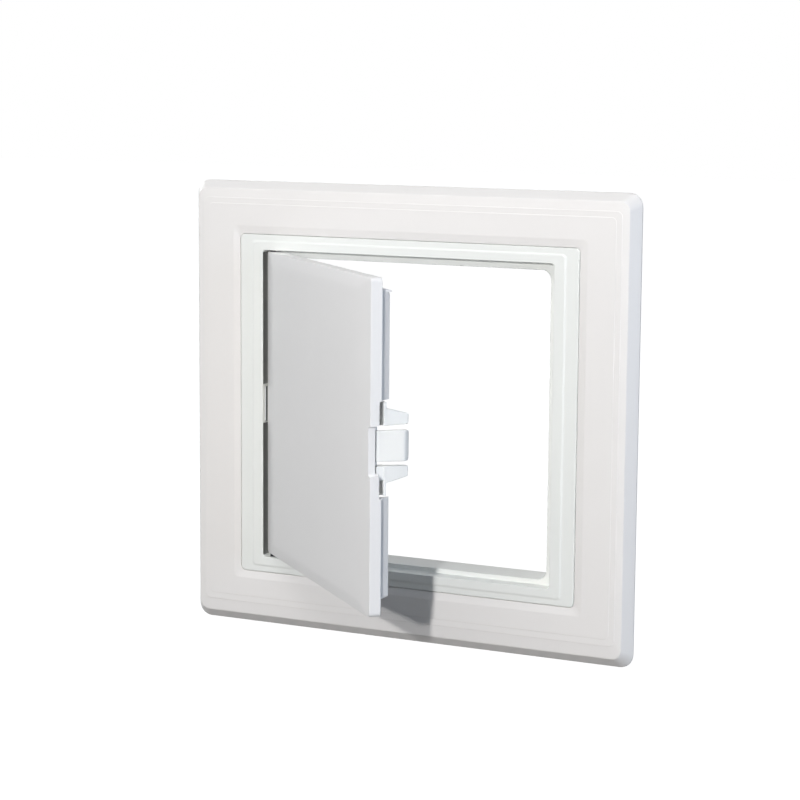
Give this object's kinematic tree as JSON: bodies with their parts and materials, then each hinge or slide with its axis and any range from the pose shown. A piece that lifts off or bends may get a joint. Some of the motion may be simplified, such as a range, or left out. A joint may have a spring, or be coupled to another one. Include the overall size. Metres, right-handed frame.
{
  "type": "ceiling access panel",
  "caption": "Small moulded access panel: a bevelled surround, a door frame with a neck for the cut-out, and a hinged door with a snap latch.",
  "frame": {"origin": "centre of the cut-out, in the plane of the ceiling board's face on which the back of the surround rests", "axes": "+Y into the ceiling along the neck, +X from the hinge side to the latch side, +Z along the hinge, up when the panel stands in a wall"},
  "size_m": [0.15, 0.0786, 0.141],
  "materials": {
    "surround_plastic": "white moulded plastic with a fine satin grain",
    "door_frame_plastic": "white moulded plastic, satin",
    "door_plastic": "white moulded plastic, satin",
    "latch_clip_plastic": "white moulded plastic, smooth",
    "latch_tongue_plastic": "white moulded plastic, smooth",
    "pin_steel": "blackened drawn steel wire"
  },
  "bodies": {
    "panel_frame": {"trim_frame": "surround_plastic", "door_frame": "door_frame_plastic", "hinge_pin_top": "pin_steel", "hinge_pin_bottom": "pin_steel"},
    "door": {"door_panel": "door_plastic", "latch_clip": "latch_clip_plastic"},
    "tongue": {"latch_tongue": "latch_tongue_plastic"}
  },
  "joints": [
    {"name": "door_hinge", "type": "hinge", "parent": "panel_frame", "child": "door", "pos_m": [-0.04673, -0.00178, 0], "axis": [0, 0, -1], "range_deg": [-43, 50]},
    {"name": "latch_flex", "type": "hinge", "parent": "door", "child": "tongue", "pos_m": [0.02121, -0.06297, 0], "axis": [0, 0, 1], "range_deg": [0, 8], "stiffness_Nm_per_rad": 0.1}
  ]
}
